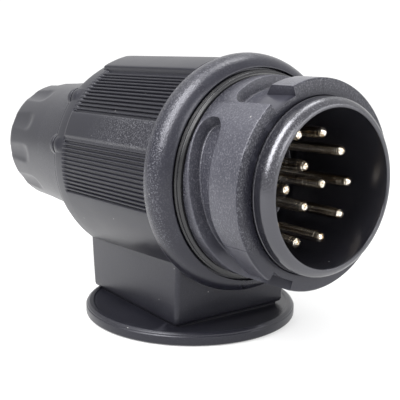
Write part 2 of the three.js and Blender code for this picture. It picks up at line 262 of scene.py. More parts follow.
# axial stations of the ribbed barrel, finer at the rear where ribs and band meet
stations = [B_BAND - 0.55, B_BAND - 0.3, B_BAND - 0.1, B_BAND + 0.1, B_BAND + 0.35, B_BAND + 0.65, B_BAND + 1.0, B_BAND + 1.4, B_BAND + 2.0]
stations += list(np.linspace(B_BAND + 4.5, B_X1 - 0.5, 16)) + [B_X1]
profiles = []
for a, r, kind in cols:
    lobe = max(0.0, cover_radius(a) - B_R)
    pr = [(B_X0, BORE + 0.6), (B_X0, B_R - 1.1)]
    for t in (0.0, 0.25, 0.5, 0.75, 1.0):
        pr.append((B_X0 + 0.5 * (1 - math.cos(t * math.pi / 2)), B_R + lobe - 0.55 + 0.5 * math.sin(t * math.pi / 2)))
    top = 59.3 <= a <= 120.7 and r > B_R - RIB_DEPTH + 0.1
    over = (r - B_R) if top else 0.0
    pr += [(B_X0 + 1.3, B_R - 0.02 + lobe), (B_X0 + 2.3, B_R - 0.01 + 0.8 * lobe), (B_X0 + 2.55, B_R + 0.6 * lobe + 0.12 * over), (B_X0 + 2.85, B_R + 0.45 * lobe + 0.85 * over), (B_X0 + 3.2, B_R + 0.35 * lobe + over), (B_BAND - 0.9, B_R + over)]
    for x in stations:
        s = 1 - B_TAPER * max(0.0, (x - B_BAND)) / (B_X1 - B_BAND)
        if kind:   # valleys run out in a round end just ahead of the rear band
            u = (x - (B_BAND - 0.55)) / 2.2
            depth = B_R - r
            rr = B_R - depth * float(smoothstep(np.array(u)))
        elif top:
            rr = r
        else:
            rr = B_R + (r - B_R) * float(smoothstep(np.array((x - (B_BAND - 0.4)) / 0.7)))
        pr.append((x, rr * s))
    pr += [(B_X1, BORE), (B_X0 + 0.6, BORE)]
    profiles.append(pr)
barrel = ring("grip_housing_detail", angles, profiles, sharp=38)

# column: rounded box that widens a little upward, with an undercut line where it meets the foot
COL = dict(x0=-24.3, x1=19.1, y=18.4, fx0=-25.0, fx1=20.4, fy=18.9)
FOOT_T, FOOT_R = 3.41, 29.9


def column_section(z, inset=0.0):
    t = (z - 3.0) / 15.0
    x0 = COL["x0"] + (COL["fx0"] - COL["x0"]) * t + inset
    x1 = COL["x1"] + (COL["fx1"] - COL["x1"]) * t - inset
    y = COL["y"] + (COL["fy"] - COL["y"]) * t - inset
    rr, pts = 1.15, []
    for sx, sy, a0 in ((1, 1, 0), (-1, 1, 90), (-1, -1, 180), (1, -1, 270)):
        for k in range(9):
            a = math.radians(a0 + k * 11.25)
            pts.append(((x1 - rr if sx > 0 else x0 + rr) + rr * math.cos(a), sy * (y - rr) + rr * math.sin(a)))
    return pts


levels = [(2.2, 1.0), (FOOT_T + 0.05, 1.0), (FOOT_T + 0.3, 0.75), (FOOT_T + 0.55, 0.35), (FOOT_T + 0.85, 0.1), (FOOT_T + 1.3, 0.0)]
levels += [(z, 0.0) for z in np.linspace(6, 19.5, 8)] + [(22.0, 0.0)]
V, F = [], []
for z, inset in levels:
    V += [(x, y, z) for x, y in column_section(z, inset)]
m = 36
for k in range(len(levels) - 1):
    for j in range(m):
        F.append([k * m + j, k * m + (j + 1) % m, (k + 1) * m + (j + 1) % m, (k + 1) * m + j])
F.append(list(range(m - 1, -1, -1)))
F.append([(len(levels) - 1) * m + j for j in range(m)])
column = finish_mesh("col", V, F, 38)

foot_profile = rounded([(0.0, 0, 0, 0), (0.0, 29.2, 0, 0), (0.45, FOOT_R, 0.5, 3), (2.45, FOOT_R, 0.15, 3), (2.65, FOOT_R - 0.28, 0.1, 2), (2.95, FOOT_R - 0.28, 0.15, 2),
                        (FOOT_T, FOOT_R - 1.0, 0.3, 3), (FOOT_T, FOOT_R - 2.1, 0.1, 2), (FOOT_T - 0.25, FOOT_R - 2.4, 0.1, 2), (FOOT_T - 0.25, 0, 0, 0)], closed=False)
n = 160
V = [(0, 0, 0.0)]
for k in range(n):
    a = 2 * math.pi * k / n
    V += [(r * math.cos(a), r * math.sin(a), z) for z, r in foot_profile[1:-1]]
V.append((0, 0, FOOT_T - 0.25))
mm_, F = len(foot_profile) - 2, []
for k in range(n):
    a0, a1 = 1 + k * mm_, 1 + ((k + 1) % n) * mm_
    F.append([0, a1, a0])
    for j in range(mm_ - 1):
        F.append([a0 + j, a1 + j, a1 + j + 1, a0 + j + 1])
    F.append([a0 + mm_ - 1, a1 + mm_ - 1, len(V) - 1])
foot = finish_mesh("foot", V, F, 38)
boolean(column, foot, "UNION")
# the barrel's bore stays open: take the column's top out of it
core = ring("core", np.arange(0, 360, 3.0), [(B_X0 - 3, 27.2), (B_X1 + 3, 27.2), (B_X1 + 3, 2.0), (B_X0 - 3, 2.0)], sharp=38)
boolean(column, core, "DIFFERENCE")
boolean(barrel, column, "UNION")
reshade(barrel, 38)
housing = barrel

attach(housing, "housing")
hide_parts("grip_housing")
attribute(housing, "grain", lambda c: (lambda a, r: np.where((c[:, 2] > 24) & (r > 28.6), np.maximum(
    smoothstep((a - 150.5) / 1.5) * smoothstep((167.5 - a) / 1.5) * smoothstep((c[:, 0] + 12) / 22),
    smoothstep((29.5 - a) / 1.5) * smoothstep((a - 12.5) / 1.5)), 0.12))(*polar_of(c)))

# ---------- rear cover: thin disc with rounded lugs, and the gland's spigot ----------
ca = sorted(set(np.round(np.arange(0, 360, 2.0), 3)) | set(np.round(np.concatenate([np.arange(l - 8.4, l + 8.41, 0.4) for l in LUGS]), 3)))
cover_profiles = []
for a in ca:
    R = cover_radius(a)
    cover_profiles.append(rounded([(X_REAR, 12.0, 0.3, 2), (X_REAR, 16.7, 0.5, 2), (X_REAR + 0.9, 17.4, 0.3, 2), (C_X0 - 0.4, 17.4, 0.3, 2), (C_X0, 17.9, 0.2, 2), (C_X0, R - 0.7, 0.2, 1),
                                   (C_X0, R, 0.75, 6), (C_X1, R, 0.25, 3), (C_X1, 25.1, 0, 0), (-23.5, 25.1, 0.4, 2), (-23.5, 12.0, 0.3, 2)]))
cover = ring("rear_cover_detail", [float(a) for a in ca], cover_profiles, sharp=38)
for i in (1, 2, 3):
    lo, hi = mm_box(f"cover_screw_{i}")
    cy, cz = float(lo[1] + hi[1]) / 2, float(lo[2] + hi[2]) / 2
    hole = turned("hole", [(-22.5, 0), (-22.5, 1.6), (-25.6, 1.6), (-25.6, 2.95), (-27.45, 2.95), (-27.8, 3.25), (-27.8, 0)], 40, cy, cz)
    boolean(cover, hole, "DIFFERENCE")
reshade(cover, 38)
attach(cover, "housing")
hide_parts("rear_cover")
attribute(cover, "grain", lambda c: np.full(len(c), 0.15))

# ---------- coupling shell: collar and bayonet sleeve ----------
K_TUBE, K_XC = 5.69, 23.64
K_RC = 30.0 - K_TUBE
S_X0, S_R0, S_R1, S_BORE, S_NECK, S_MOUTH = 30.3, 24.7, 24.1, 20.8, 22.6, 20.25
FLOOR, ENTRY_FLOOR = 21.55, 21.95
PATH = np.array([[-9.15, 39.2, 40.8], [-8.9, 38.5, 41.2], [-8.2, 37.9, 41.6], [-7.0, 37.15, 41.8], [-5.8, 36.55, 41.9], [-4.3, 36.0, 41.9], [-2.8, 35.5, 41.9], [0.0, 35.1, 41.9], [2.5, 34.95, 41.9], [8.0, 34.6, 41.9],
                 [16, 34.3, 41.8], [24, 34.0, 41.6], [31, 33.75, 41.0], [37, 33.55, 40.3], [43, 33.4, 39.75], [49, 33.25, 39.45], [60, 32.6, 39.4], [74, 31.7, 39.2], [84, 31.15, 39.1], [90, 31.0, 38.9], [93.6, 31.1, 38.4], [96.0, 31.45, 37.7],
                 [98.0, 32.1, 36.9], [99.3, 33.0, 36.0], [99.8, 33.9, 35.2]])
ENTRIES = [121.5, 241.5, 1.5]
SLOT = (-8.9, 8.1)                      # entry slot, degrees of path


def out_r(x):
    return S_R0 + (S_R1 - S_R0) * (x - S_X0) / (X_FRONT - S_X0)


def shell_columns():
    """list of (angle, path d or None, in entry slot)"""
    cols = []
    for e in ENTRIES:
        ds = sorted(set([SLOT[0] - 0.02 + 0.0] + list(np.arange(-8.0, 8.0, 1.0)) + list(np.arange(9.5, 92, 2.25)) + [float(v) for v in PATH[:, 0]] + [92, 95, 97, 98.7]))
        for d in ds:
            if d <= PATH[0, 0] or d >= PATH[-1, 0]:
                continue
            cols.append((e - d, float(d), bool(SLOT[0] < d < SLOT[1])))
        for d, slot in ((SLOT[0] - 0.03, False), (SLOT[0] + 0.03, True), (SLOT[1] - 0.03, True), (SLOT[1] + 0.03, False), (PATH[0, 0] + 0.02, False), (PATH[-1, 0] - 0.02, False)):
            cols.append((e - d, d, slot))
        for d in (PATH[0, 0] - 0.06, PATH[-1, 0] + 0.06, PATH[0, 0] - 1.0, PATH[-1, 0] + 1.0, 103.5, 106.5, 109.0 - 0.3):
            if d < PATH[0, 0] or d > PATH[-1, 0]:
                cols.append((e - d, None, d))
    for m, e in ((209.85, 241.5), (91.5, 121.5), (29.85, 121.5)):
        cols = [c for c in cols if abs(c[0] % 360 - m) > 0.3] + [(m + o, e - m - o, False) for o in (-0.26, -0.17, 0.0, 0.17, 0.26)]
    out, seen = [], []
    for c in sorted(cols, key=lambda c: c[0] % 360):
        a = c[0] % 360
        if seen and abs(a - seen[-1]) < 0.012:
            continue
        seen.append(a)
        out.append((a, c[1], c[2]))
    return out


def shell_profile(a, d, slot):
    arc = []
    t0, t1 = math.acos((21.6 - K_XC) / K_TUBE), math.asin((26.6 - K_RC) / K_TUBE)
    for k in range(19):
        t = t0 + (t1 - t0) * k / 18
        arc.append((K_XC + K_TUBE * math.cos(t), K_RC + K_TUBE * math.sin(t), 0, 0))
    arc[0] = (arc[0][0], arc[0][1], 0.35, 3)
    if d is None:
        end = slot < 0
        xr, xf = (PATH[0, 1:] if end else PATH[-1, 1:])
        f = None
    else:
        xr, xf = np.interp(d, PATH[:, 0], PATH[:, 1]), np.interp(d, PATH[:, 0], PATH[:, 2])
        f = FLOOR
    in_slot = d is not None and slot is True
    if in_slot:
        xf = min(xf, 39.5 + 2.0 * float(smoothstep(np.array((-4.0 - d) / 5.0))))
    ru = ENTRY_FLOOR if in_slot else out_r(xf)
    rf = ENTRY_FLOOR if in_slot else S_R1
    g = [(xr, out_r(xr), 0.28, 3), (xr + 0.22, f if f else out_r(xr + 0.22), 0.45, 4), (xf - 0.18, f if f else out_r(xf - 0.18), 0.35, 3), (xf, ru, 0.25, 3)]
    mid = [(43.0 + k * 1.35, ENTRY_FLOOR if in_slot else out_r(43.0 + k * 1.35), 0, 0) for k in range(4)]
    pts = [(17.6, 21.8, 0, 0), (17.6, 25.2, 0.2, 1), (21.6, 25.2, 0, 0)] + arc + [(28.85, 26.35, 0.12, 2), (27.6, 26.35, 0.1, 1), (27.6, S_NECK, 0.1, 1), (S_X0, S_NECK, 0.1, 1), (S_X0, S_R0, 0.28, 4)] + g + mid + [
        (X_FRONT, rf, 0.62 if not in_slot else 0.12, 6), (X_FRONT, S_MOUTH, 0.22, 4), (X_FRONT - 1.2, S_MOUTH, 0, 0), (X_FRONT - 1.5, S_BORE, 0, 0), (44.0, S_BORE, 0, 0), (21.1, S_BORE, 0, 0), (21.1, 21.8, 0, 0)]
    out = rounded(pts)
    if any(abs(a - m) < 0.2 for m in (209.85, 91.5, 29.85)):     # the mould's parting lines
        skin = (out[:, 0] > 30.7) & (out[:, 0] < 48.35) & (out[:, 1] > 23.6)
        face = (out[:, 0] > 48.35) & (out[:, 1] > 20.6)
        out[skin, 1] -= 0.10
        out[face, 0] -= 0.08
    return out


scols = shell_columns()
shell = ring("coupling_shell_detail", [c[0] for c in scols], [shell_profile(*c) for c in scols], sharp=34)
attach(shell, "housing")
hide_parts("coupling_shell")


def shell_grain(c):
    a, r = polar_of(c)
    collar = (c[:, 0] < 29.3) & (r > 25.5)
    sleeve = (c[:, 0] > 30.2) & (r > S_BORE + 0.1)
    up = 1 - smoothstep((a - 206) / 8) * smoothstep((334 - a) / 8)
    g = np.where(collar, 0.95 * (0.2 + 0.8 * up) * (1 - 0.75 * smoothstep((c[:, 0] - 26.4) / 1.2)), np.where(sleeve, 0.1 + 0.9 * up, 0.1))
    return np.where((c[:, 0] > 39.4) & (np.abs(r - ENTRY_FLOOR) < 0.08), 0.0, g)


attribute(shell, "grain", shell_grain)
# painted highlight: the sleeve's outside gets a lighter colour, fading down the groove walls to painted shade on their
# floors
attribute(shell, "painted_sheen", lambda c: (lambda a, r: np.where((c[:, 0] > 30.6) & (c[:, 0] < X_FRONT - 0.3) & (r > S_BORE + 0.4), 0.55 + 0.45 * np.clip((r - FLOOR) / 1.5, 0, 1), 0.0))(*polar_of(c)))

# ---------- coupling seal: two lips, wet-looking rubber ----------
seal = ring("coupling_seal_detail", np.arange(0, 360, 2.5), rounded([
    (27.9, 22.9, 0.2, 2), (27.9, 25.3, 0.3, 4), (28.25, 25.9, 0.4, 4), (28.75, 25.9, 0.3, 4), (29.0, 25.45, 0.2, 3), (29.25, 25.6, 0.25, 4), (29.75, 25.6, 0.3, 4), (30.0, 25.0, 0.3, 3), (30.0, 22.9, 0.2, 2)]), sharp=50)
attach(seal, "housing")
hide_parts("coupling_seal")

# ---------- contact insert ----------
S_R, LIP = 20.15, 2.78
SX1 = float(sh_hi[0])
shroud = ring("insert_shroud_detail", np.arange(0, 360, 2.0), rounded([
    (18.0, 16.0, 0, 0), (18.0, 21.4, 0.3, 2), (20.8, 21.4, 0.2, 2), (20.8, S_R, 0.1, 1), (28.4, S_R, 0.15, 1), (28.4, 18.9, 0, 0), (31.6, 18.9, 0, 0), (31.6, S_R, 0.15, 1), (46.0, S_R, 0, 0), (48.9, S_R, 0, 0), (49.0, S_R - 0.12, 0, 0), (49.12, S_R - 0.12, 0, 0), (49.22, S_R, 0, 0), (SX1 - 2.7, S_R, 0, 0),
    *[(SX1 - 2.58 + LIP * math.sin(t), S_R - LIP + LIP * math.cos(t), 0, 0) for t in np.radians(np.linspace(6, 66, 16))], (SX1, 18.2, 0, 0), (SX1 - 0.02, 17.86, 0.1, 2), (SX1 - 0.3, 17.7, 0.15, 2), (SX1 - 1.2, 17.7, 0, 0), (40.0, 17.7, 0, 0), (30.0, 17.7, 0, 0), (21.2, 17.7, 0.3, 3), (21.2, 16.0, 0, 0)]), sharp=34)
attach(shroud, "contact_insert")
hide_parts("insert_shroud")
attribute(shroud, "grain", lambda c: (lambda a, r: np.where((r > 17.9) & (c[:, 0] > 44), 0.08 + 0.42 * (1 - smoothstep((a - 165) / 18) * smoothstep((375 - a) / 18)), 0.08))(*polar_of(c)))

PIN_R = 1.38
pin_boxes = [mm_box(f"contact_pin_{i:02d}") for i in range(1, 14)]
for i, (lo, hi) in enumerate(pin_boxes, 1):
    cy, cz = float(lo[1] + hi[1]) / 2, float(lo[2] + hi[2]) / 2
    t, end = float(hi[0]), float(lo[0])
    tip = [(t - 1.32 * (1 - math.cos(k * math.pi / 20)), 1.3 * math.sin(k * math.pi / 20)) for k in range(0, 12)]
    prof = [(t, 0)] + tip[1:] + [(t - 1.75, 1.27), (t - 2.1, 1.36), (t - 2.5, PIN_R), (t - 8, PIN_R), (t - 14, PIN_R), (11.6, PIN_R), (11.45, PIN_R + 0.05), (11.4, 2.05), (11.3, 2.1), (end + 0.2, 2.1), (end, 1.95), (end, 1.2), (end + 7.5, 1.2), (end + 8.2, 0)]
    pin = turned(f"contact_pin_{i:02d}_detail", prof, 24, cy, cz, sharp=50)
    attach(pin, "contact_insert")
    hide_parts(f"contact_pin_{i:02d}")

# carrier: boss rings round each pin on its front face
c_lo, c_hi = mm_box("contact_carrier")
carrier = turned("contact_carrier_detail", rounded([(12.0, 0, 0, 0), (12.0, 19.0, 0.3, 2), (17.7, 19.0, 0.2, 2), (17.7, 15.7, 0.1, 1), (21.9, 15.7, 0.35, 3), (21.9, 0, 0, 0)], closed=False), 96, sharp=38)
for i, (lo, hi) in enumerate(pin_boxes, 1):
    cy, cz = float(lo[1] + hi[1]) / 2, float(lo[2] + hi[2]) / 2
    boss = turned("boss", [(21.5, 0), (21.5, 2.3), (22.3, 2.2), (22.5, 1.95), (22.5, 0)], 28, cy, cz)
    boolean(carrier, boss, "UNION")
for i, (lo, hi) in enumerate(pin_boxes, 1):
    cy, cz = float(lo[1] + hi[1]) / 2, float(lo[2] + hi[2]) / 2
    hole = turned("hole", [(11.0, 0), (11.0, 1.5), (23.5, 1.5), (23.5, 0)], 28, cy, cz)
    boolean(carrier, hole, "DIFFERENCE")
for i in (1, 2):
    lo, hi = mm_box(f"insert_screw_{i}")
    cy, cz = float(lo[1] + hi[1]) / 2, float(lo[2] + hi[2]) / 2
    hole = turned("hole", [(11.0, 0), (11.0, 1.2), (18.5, 1.2), (18.5, 0)], 20, cy, cz)
    boolean(carrier, hole, "DIFFERENCE")
reshade(carrier, 38)
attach(carrier, "contact_insert")
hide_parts("contact_carrier")
attribute(carrier, "grain", lambda c: np.full(len(c), 0.3))

# ---------- gland nut: domed, with rounded finger scallops ----------
N_X0, N_XM, N_X1, N_R0, N_RM = float(nut_hi[0]), -81.0, float(nut_lo[0]), 22.6, 21.4
na = np.arange(0, 360, 1.0)
xs_outer = [N_X0 - 0.05 + 0.0] + list(np.linspace(N_X0 - 1.2, -52.0, 7)) + list(np.linspace(-54.0, -64.0, 21)) + list(np.linspace(-65.5, -80.0, 9))
dome = [(N_XM + (N_X1 - N_XM) * math.sin(t), 14.0 + (N_RM - 14.0) * math.cos(t)) for t in np.linspace(0.0, math.pi / 2, 12)]
SC_R, SC_C, SC_X = 10.5, 31.35, -69.5


def scallop(a, x, r):
    """radius after the finger scallops are scooped out, with a soft edge"""
    d = math.radians((a - 6.5 + 15) % 30 - 15)
    rad = SC_R if x < SC_X else math.sqrt(max(SC_R ** 2 - (x - SC_X) ** 2, 0.0))
    s = rad * rad - (SC_C * math.sin(d)) ** 2
    cut = SC_C * math.cos(d) - math.sqrt(s) if s > 0 else r + 2.0
    k = 0.16
    h = max(k - abs(r - cut), 0.0) / k
    return min(r, cut) - h * h * k * 0.25


nut_profiles = []
for a in na:
    pr = [(N_X0, 18.0), (N_X0, N_R0 - 0.6), (N_X0 - 0.1, N_R0 - 0.25), (N_X0 - 0.35, N_R0 - 0.03)]
    for x in xs_outer[1:]:
        r = N_R0 + (N_RM - N_R0) * (x - N_X0) / (N_XM - N_X0)
        pr.append((x, scallop(a, x, r)))
    for x, r in dome:
        pr.append((x, scallop(a, x, r)))
    pr += [(N_X1, 11.5), (N_X1, 9.7), (N_X1 + 0.25, 9.0), (N_X1 + 0.8, 8.5), (N_X1 + 1.6, 8.2), (-80.0, 8.2), (-74.0, 8.2), (-74.0, 16.9), (-61.0, 18.0)]
    nut_profiles.append(pr)
nut = ring("gland_nut_detail", na, nut_profiles, sharp=36)
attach(nut, "gland_nut")
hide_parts("gland_nut")
attribute(nut, "grain", lambda c: np.where(c[:, 0] > -57, 0.35, 0.12))

# grommet and washer, seen through the cable hole
grommet = ring("gland_grommet_detail", np.arange(0, 360, 5.0), rounded([(-57.0, 5.6, 0.3, 2), (-57.0, 9.5, 0.3, 2), (-69.4, 9.5, 0.3, 2), (-69.4, 7.4, 0.2, 2), (-68.9, 7.2, 0.2, 2), (-68.9, 6.6, 0.2, 2), (-69.4, 6.4, 0.2, 2), (-69.4, 5.6, 0.3, 3)]), sharp=40)
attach(grommet, "housing")
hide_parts("gland_grommet")
washer = ring("thrust_washer_detail", np.arange(0, 360, 5.0), rounded([(-73.6, 9.2, 0.15, 2), (-73.6, 16.4, 0.2, 2), (-72.0, 16.4, 0.2, 2), (-72.0, 9.2, 0.15, 2)]), sharp=40)
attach(washer, "gland_slide")
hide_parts("thrust_washer")

# ---------- screws with a cross recess ----------
for i in (1, 2, 3):
    lo, hi = mm_box(f"cover_screw_{i}")
    cy, cz = float(lo[1] + hi[1]) / 2, float(lo[2] + hi[2]) / 2
    x0, x1 = float(lo[0]), float(hi[0])
    thread = []
    for k in range(14):
        xx = x0 + 2.2 + k * 0.6
        thread += [(xx, 1.0), (xx + 0.3, 1.25)]
    screw = turned(f"cover_screw_{i}_detail", [(x0, 0)] + list(map(tuple, rounded([(x0, 0.4, 0, 0), (x0, 1.7, 0.5, 3), (x0 + 0.45, 2.45, 0.3, 3), (x0 + 1.4, 2.45, 0.1, 1), (x0 + 1.4, 1.2, 0, 0)], closed=False))) + [t for t in thread if t[0] < x1 - 1.2] + [(x1 - 0.6, 0.9), (x1, 0)], 24, cy, cz, sharp=35)
    for k in (0, 90):
        bm = bmesh.new()
        bmesh.ops.create_cube(bm, size=1.0)
        bmesh.ops.scale(bm, vec=(0.9 * 2, 0.62, 2.9), verts=bm.verts)
        for v in bm.verts:
            if v.co.x > 0:
                v.co.z *= 0.45
        bmesh.ops.rotate(bm, matrix=Matrix.Rotation(math.radians(k + 20), 3, "X"), verts=bm.verts)
        bmesh.ops.translate(bm, vec=(x0, cy, cz), verts=bm.verts)
        bmesh.ops.scale(bm, vec=(MM, MM, MM), verts=bm.verts)
        me = bpy.data.meshes.new("slot")
        bm.to_mesh(me)
        bm.free()
        cutter = bpy.data.objects.new("slot", me)
        bpy.context.scene.collection.objects.link(cutter)
        boolean(screw, cutter, "DIFFERENCE")
    reshade(screw, 35)
    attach(screw, "housing")
    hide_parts(f"cover_screw_{i}")


# ---------- materials ----------
def new_material(name):
    mat = bpy.data.materials.new(name)
    mat.use_nodes = True
    nt = mat.node_tree
    return mat, nt, nt.nodes["Principled BSDF"]


def add(nt, kind, **inputs):
    nd = nt.nodes.new(kind)
    for k, v in inputs.items():
        if k in nd.inputs:
            nd.inputs[k].default_value = v
        else:
            setattr(nd, k, v)
    return nd


def math_node(nt, op, a, b=None):
    nd = nt.nodes.new("ShaderNodeMath")
    nd.operation = op
    for i, v in enumerate((a, b)):
        if v is None:
            continue
        if isinstance(v, (int, float)):
            nd.inputs[i].default_value = v
        else:
            nt.links.new(v, nd.inputs[i])
    return nd.outputs[0]


def plastic(name, color, rough, grain_size=0.34, grain_amount=1.0, use_grain=True, spec=0.5, wear=0.5, painted_sheen=None):
    """Moulded plastic: spark-eroded grain where the grain attribute says so, faint flow mottling, dust specks and worn
    edges, and where asked a lighter colour as a painted highlight.
    """
    mat, nt, bsdf = new_material(name)
    L = nt.links.new
    co = add(nt, "ShaderNodeTexCoord")
    pos = co.outputs["Object"]
    fine = add(nt, "ShaderNodeTexNoise", Scale=1000.0 / grain_size, Detail=2.0, Roughness=0.6)
    L(pos, fine.inputs["Vector"])
    cell = add(nt, "ShaderNodeTexVoronoi", Scale=1000.0 / (grain_size * 1.7))
    L(pos, cell.inputs["Vector"])
    broad = add(nt, "ShaderNodeTexNoise", Scale=90.0, Detail=3.0, Roughness=0.55)
    L(pos, broad.inputs["Vector"])
    specks = add(nt, "ShaderNodeTexVoronoi", Scale=150.0)
    L(pos, specks.inputs["Vector"])
    grain = add(nt, "ShaderNodeAttribute")
    grain.attribute_name = "grain"
    g = grain.outputs["Fac"] if use_grain else None
    height = math_node(nt, "ADD", math_node(nt, "MULTIPLY", fine.outputs["Fac"], 1.0), math_node(nt, "MULTIPLY", cell.outputs["Distance"], 0.6))
    amount = math_node(nt, "MULTIPLY", g, 0.85 * grain_amount) if use_grain else None
    bump = add(nt, "ShaderNodeBump", Distance=0.00006)
    if use_grain:
        L(math_node(nt, "ADD", amount, 0.06), bump.inputs["Strength"])
    else:
        bump.inputs["Strength"].default_value = 0.12
    L(height, bump.inputs["Height"])
    L(bump.outputs["Normal"], bsdf.inputs["Normal"])
    # colour: base, lighter speckle in the grain, dust specks, slight mottling
    ramp = add(nt, "ShaderNodeMapRange")
    L(fine.outputs["Fac"], ramp.inputs["Value"])
    ramp.inputs["From Min"].default_value, ramp.inputs["From Max"].default_value = 0.50, 0.70
    speck = add(nt, "ShaderNodeMapRange")
    L(specks.outputs["Distance"], speck.inputs["Value"])
    speck.inputs["From Min"].default_value, speck.inputs["From Max"].default_value = 0.035, 0.02
    mott = add(nt, "ShaderNodeMapRange")
    L(broad.outputs["Fac"], mott.inputs["Value"])
    mott.inputs["From Min"].default_value, mott.inputs["From Max"].default_value = 0.3, 0.7
    mott.inputs["To Min"].default_value, mott.inputs["To Max"].default_value = 0.9, 1.1
    geo = add(nt, "ShaderNodeNewGeometry")
    edge = add(nt, "ShaderNodeMapRange")
    L(geo.outputs["Pointiness"], edge.inputs["Value"])
    edge.inputs["From Min"].default_value, edge.inputs["From Max"].default_value = 0.53, 0.62
    edge.inputs["To Max"].default_value = wear
    mix1 = add(nt, "ShaderNodeMix", data_type="RGBA")
    mix1.inputs[6].default_value = (*color, 1)
    if painted_sheen:   # painted highlight: a lighter colour where the attribute says so, standing in for light the sleeve catches
        where = add(nt, "ShaderNodeAttribute")
        where.attribute_name = "painted_sheen"
        mix0 = add(nt, "ShaderNodeMix", data_type="RGBA")
        mix0.inputs[6].default_value = (*color, 1)
        mix0.inputs[7].default_value = (*painted_sheen, 1)
        L(where.outputs["Fac"], mix0.inputs[0])
        L(mix0.outputs[2], mix1.inputs[6])
    mix1.inputs[7].default_value = (*[min(1, c * 3.0 + 0.075) for c in color], 1)
    f = ramp.outputs["Result"]
    f = math_node(nt, "MULTIPLY", f, math_node(nt, "MULTIPLY", g, 0.8) if use_grain else 0.05)
    L(f, mix1.inputs[0])
    mix2 = add(nt, "ShaderNodeMix", data_type="RGBA")
    L(mix1.outputs[2], mix2.inputs[6])
    mix2.inputs[7].default_value = (*[min(1, c * 2.4 + 0.02) for c in color], 1)
    L(edge.outputs["Result"], mix2.inputs[0])
    mix3 = add(nt, "ShaderNodeMix", data_type="RGBA")
    L(mix2.outputs[2], mix3.inputs[6])
    mix3.inputs[7].default_value = (0.35, 0.34, 0.33, 1)
    L(math_node(nt, "MULTIPLY", speck.outputs["Result"], 0.6), mix3.inputs[0])
    mix4 = add(nt, "ShaderNodeMix", data_type="RGBA", blend_type="MULTIPLY")
    mix4.inputs[0].default_value = 1.0
    L(mix3.outputs[2], mix4.inputs[6])
    comb = add(nt, "ShaderNodeCombineColor")
    for k in range(3):
        L(mott.outputs["Result"], comb.inputs[k])
    L(comb.outputs[0], mix4.inputs[7])
    L(mix4.outputs[2], bsdf.inputs["Base Color"])
    # roughness: satin, varying a little with the broad mottling
    r = math_node(nt, "MULTIPLY", broad.outputs["Fac"], 0.10)
    r = math_node(nt, "ADD", r, rough - 0.05)
    L(r, bsdf.inputs["Roughness"])
    bsdf.inputs["Specular IOR Level"].default_value = spec
    bsdf.inputs["Specular Tint"].default_value = (0.93, 0.93, 1.0, 1)
    return mat


def rubber(name, color, rough):
    mat, nt, bsdf = new_material(name)
    L = nt.links.new
    co = add(nt, "ShaderNodeTexCoord")
    noise = add(nt, "ShaderNodeTexNoise", Scale=420.0, Detail=4.0, Roughness=0.6)
    L(co.outputs["Object"], noise.inputs["Vector"])
    bump = add(nt, "ShaderNodeBump", Distance=0.00004, Strength=0.25)
    L(noise.outputs["Fac"], bump.inputs["Height"])
    L(bump.outputs["Normal"], bsdf.inputs["Normal"])
    mr = add(nt, "ShaderNodeMapRange")
    L(noise.outputs["Fac"], mr.inputs["Value"])
    mr.inputs["To Min"].default_value, mr.inputs["To Max"].default_value = rough - 0.06, rough + 0.1
    L(mr.outputs["Result"], bsdf.inputs["Roughness"])
    mix = add(nt, "ShaderNodeMix", data_type="RGBA")
    mix.inputs[6].default_value = (*color, 1)
    mix.inputs[7].default_value = (*[c * 1.8 + 0.004 for c in color], 1)
    L(noise.outputs["Fac"], mix.inputs[0])
    L(mix.outputs[2], bsdf.inputs["Base Color"])
    return mat


def metal(name, color, dark, rough, streak=(40.0, 900.0, 900.0), rings=None):
    """Turned and plated metal: light and dark colour streaks along the axis, which on the pins are painted reflection
    streaks, tarnish in patches.
    """
    mat, nt, bsdf = new_material(name)
    L = nt.links.new
    co = add(nt, "ShaderNodeTexCoord")
    mp = add(nt, "ShaderNodeMapping")
    mp.inputs["Scale"].default_value = streak
    L(co.outputs["Object"], mp.inputs["Vector"])
    noise = add(nt, "ShaderNodeTexNoise", Scale=1.0, Detail=4.0, Roughness=0.65)
    L(mp.outputs["Vector"], noise.inputs["Vector"])
    patch = add(nt, "ShaderNodeTexNoise", Scale=260.0, Detail=3.0, Roughness=0.6)
    L(co.outputs["Object"], patch.inputs["Vector"])
    # painted reflection: bright and dark streaks along the axis mixed into the plating colour
    mr = add(nt, "ShaderNodeMapRange")
    L(noise.outputs["Fac"], mr.inputs["Value"])
    mr.inputs["From Min"].default_value, mr.inputs["From Max"].default_value = 0.40, 0.60
    mix = add(nt, "ShaderNodeMix", data_type="RGBA")
    mix.inputs[6].default_value = (*dark, 1)
    mix.inputs[7].default_value = (*color, 1)
    L(mr.outputs["Result"], mix.inputs[0])
    L(mix.outputs[2], bsdf.inputs["Base Color"])
    rr = add(nt, "ShaderNodeMapRange")
    L(patch.outputs["Fac"], rr.inputs["Value"])
    rr.inputs["To Min"].default_value, rr.inputs["To Max"].default_value = rough - 0.05, rough + 0.12
    L(rr.outputs["Result"], bsdf.inputs["Roughness"])
    bump = add(nt, "ShaderNodeBump", Distance=0.00003, Strength=0.35)
    L(noise.outputs["Fac"], bump.inputs["Height"])
    last = bump
    if rings:   # turning marks round the pin spread the light along it
        mp2 = add(nt, "ShaderNodeMapping")
        mp2.inputs["Scale"].default_value = rings
        L(co.outputs["Object"], mp2.inputs["Vector"])
        marks = add(nt, "ShaderNodeTexNoise", Scale=1.0, Detail=2.0, Roughness=0.5)
        L(mp2.outputs["Vector"], marks.inputs["Vector"])
        last = add(nt, "ShaderNodeBump", Distance=0.0003, Strength=1.0)
        L(marks.outputs["Fac"], last.inputs["Height"])
        L(bump.outputs["Normal"], last.inputs["Normal"])
    L(last.outputs["Normal"], bsdf.inputs["Normal"])
    bsdf.inputs["Metallic"].default_value = 1.0
    return mat


